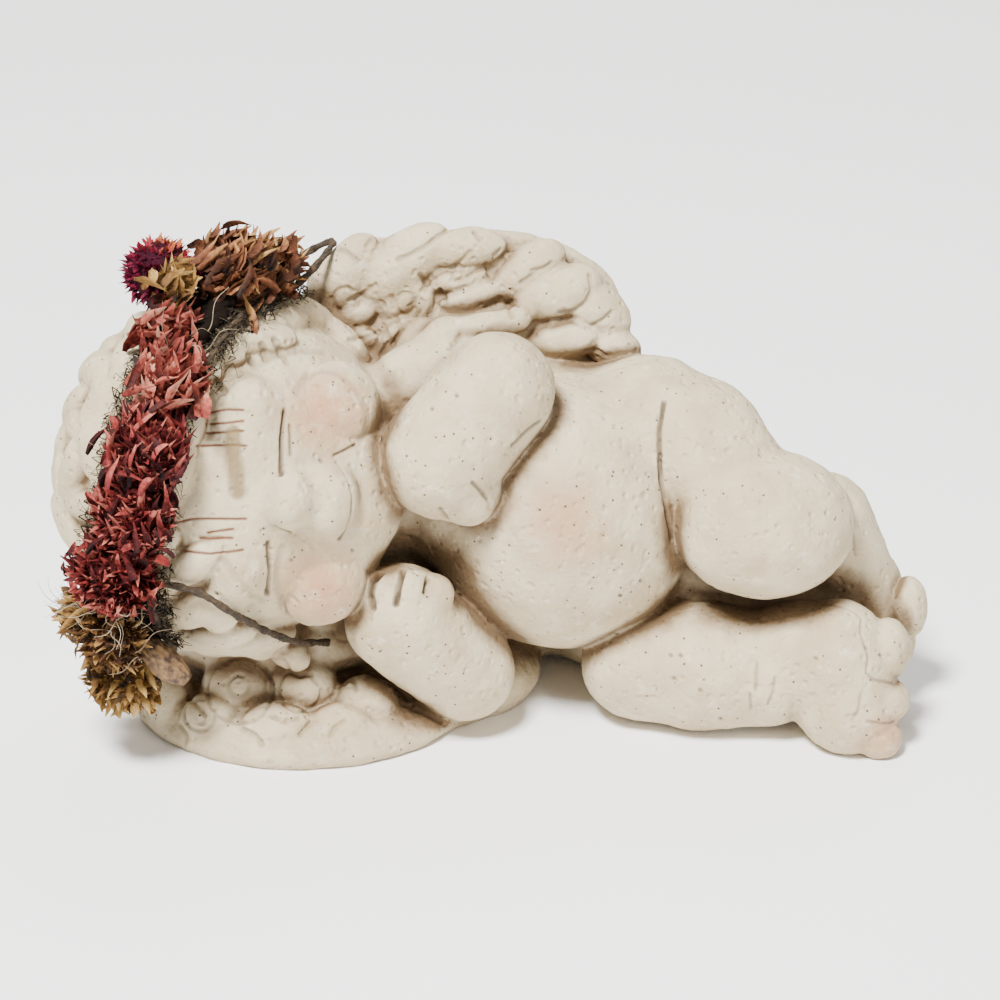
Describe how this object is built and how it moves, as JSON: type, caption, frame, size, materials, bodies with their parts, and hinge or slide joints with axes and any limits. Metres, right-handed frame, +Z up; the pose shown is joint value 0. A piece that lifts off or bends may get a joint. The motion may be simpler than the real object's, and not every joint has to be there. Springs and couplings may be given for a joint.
{
  "type": "sleeping angel statue",
  "caption": "Small cast figurine of a chubby winged cherub asleep on its side, with a band of dried flowers on a vine round its head.",
  "frame": {"origin": "middle of the bounding box, on the plane of the flat underside", "axes": "+X from the head's crown to the feet, -Y towards the face and belly, +Z up"},
  "size_m": [0.139, 0.065, 0.0834],
  "materials": {
    "plaster": "matt cream cast plaster with a brown wash in the creases and a rose blush",
    "vine_bark": "dry twisted bark",
    "red_bract": "dried petals, salmon to deep red",
    "brown_bract": "dried petals, rose brown",
    "tan_bract": "dried petals, tan",
    "magenta_petal": "dried petals, dark magenta"
  },
  "bodies": {
    "root": {"figure": "plaster", "wreath_vine": "vine_bark", "vine_tail": "vine_bark", "bract_head_1": "red_bract", "bract_head_2": "red_bract", "bract_head_3": "red_bract", "bract_head_4": "red_bract", "bract_head_5": "red_bract", "long_bract_head_1": "brown_bract", "long_bract_head_2": "brown_bract", "tan_head_1": "tan_bract", "tan_head_2": "tan_bract", "tan_head_3": "tan_bract", "tan_head_4": "tan_bract", "curled_leaf": "brown_bract", "globe_head": "magenta_petal"}
  },
  "joints": []
}
